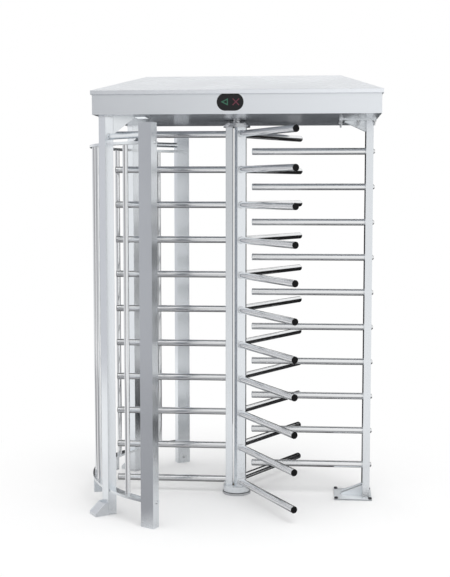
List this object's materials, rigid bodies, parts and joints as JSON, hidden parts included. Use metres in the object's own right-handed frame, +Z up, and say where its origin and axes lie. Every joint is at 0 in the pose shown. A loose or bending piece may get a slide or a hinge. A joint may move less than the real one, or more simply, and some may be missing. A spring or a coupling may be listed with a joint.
{
  "type": "full height turnstile",
  "caption": "Full height turnstile: a winged rotor turns between a comb barrier and a curved guard under a hipped canopy with indicators, drive and lock.",
  "frame": {"origin": "on the floor at the rotor's axis, under the middle of the floor disc", "axes": "+X from the rotor axis towards the comb post, +Y away from the viewer of the pictured front, +Z up"},
  "size_m": [1.629, 1.4952, 2.406],
  "materials": {
    "satin_steel": "satin",
    "polished_tube": "polished",
    "canopy_metal": "satin",
    "machined_steel": "machined",
    "fastener_steel": "bright zinc",
    "bearing_bronze": "turned",
    "structural_steel": "matt",
    "cast_housing": "cast",
    "motor_paint": "semi gloss",
    "pulley_metal": "machined",
    "belt_rubber": "matt",
    "dark_plastic": "matt",
    "board_green": "satin",
    "supply_case": "anodised",
    "indicator_window": "gloss",
    "signal_green": "lit",
    "signal_red": "lit",
    "lamp_diffuser": "opal"
  },
  "bodies": {
    "frame": {"guard_outer_posts": "satin_steel", "guard_inner_posts": "satin_steel", "guard_post_caps": "satin_steel", "guard_braces": "satin_steel", "guard_bottom_rail": "satin_steel", "guard_top_rail": "satin_steel", "rail_lugs": "satin_steel", "guard_feet": "satin_steel", "guard_head_brackets": "satin_steel", "comb_post": "satin_steel", "comb_foot": "satin_steel", "comb_head_bracket": "satin_steel", "comb_end_caps": "satin_steel", "post_sockets": "satin_steel", "comb_bars": "polished_tube", "guard_tubes": "polished_tube", "roof_panel": "canopy_metal", "canopy_skirt": "canopy_metal", "canopy_soffit": "canopy_metal", "floor_base": "machined_steel", "pawl_pins": "machined_steel", "comb_bar_inserts": "machined_steel", "comb_bolts": "fastener_steel", "head_bolts": "fastener_steel", "guard_bolts": "fastener_steel", "floor_anchors": "fastener_steel", "pawl_springs": "fastener_steel", "top_bearing": "bearing_bronze", "head_beams": "structural_steel", "backing_plates": "structural_steel", "drive_plate": "structural_steel", "top_bearing_housing": "cast_housing", "motor_gearbox": "motor_paint", "drive_belt": "belt_rubber", "indicator_housings": "dark_plastic", "lock_solenoids": "dark_plastic", "control_board": "board_green", "power_supply": "supply_case", "indicator_windows": "indicator_window", "indicator_arrows": "signal_green", "indicator_crosses": "signal_red", "soffit_lamp": "lamp_diffuser"},
    "rotor": {"column_uprights": "satin_steel", "wing_bars_1": "polished_tube", "wing_bars_2": "polished_tube", "wing_bars_3": "polished_tube", "wing_end_plugs": "dark_plastic", "rotor_bottom_flange": "machined_steel", "rotor_top_flange": "machined_steel", "rotor_flange_bolts": "fastener_steel", "rotor_shaft": "machined_steel", "rotor_pulley": "pulley_metal", "lock_disc": "machined_steel", "bottom_bearing": "bearing_bronze"},
    "motor_output": {"motor_shaft": "machined_steel", "motor_pulley": "pulley_metal"},
    "front_pawl": {"pawl_front": "machined_steel"},
    "rear_pawl": {"pawl_rear": "machined_steel"},
    "front_plunger": {"plunger_front": "machined_steel"},
    "rear_plunger": {"plunger_rear": "machined_steel"}
  },
  "joints": [
    {"name": "rotor_spin", "type": "hinge", "parent": "frame", "child": "rotor", "pos_m": [0, 0, 0], "axis": [0, 0, 1], "continuous": true},
    {"name": "motor_spin", "type": "hinge", "parent": "frame", "child": "motor_output", "pos_m": [0.26, 0, 0], "axis": [0, 0, 1], "continuous": true},
    {"name": "front_pawl_swing", "type": "hinge", "parent": "frame", "child": "front_pawl", "pos_m": [-0.09, -0.14, 2.313], "axis": [0, 0, 1], "range_deg": [0, 9], "stiffness_Nm_per_rad": 0.6, "springref_deg": -5.73},
    {"name": "rear_pawl_swing", "type": "hinge", "parent": "frame", "child": "rear_pawl", "pos_m": [-0.09, 0.14, 2.313], "axis": [0, 0, -1], "range_deg": [0, 9], "stiffness_Nm_per_rad": 0.6, "springref_deg": -5.73},
    {"name": "front_plunger_slide", "type": "slide", "parent": "frame", "child": "front_plunger", "axis": [0, -1, 0], "range_m": [0, 0.0066]},
    {"name": "rear_plunger_slide", "type": "slide", "parent": "frame", "child": "rear_plunger", "axis": [0, 1, 0], "range_m": [0, 0.0066]}
  ],
  "couplings": [
    {"joint": "motor_spin", "follows": "rotor_spin", "ratio": 3},
    {"joint": "front_plunger_slide", "follows": "front_pawl_swing", "m_per_rad": 0.042},
    {"joint": "rear_plunger_slide", "follows": "rear_pawl_swing", "m_per_rad": 0.042}
  ]
}
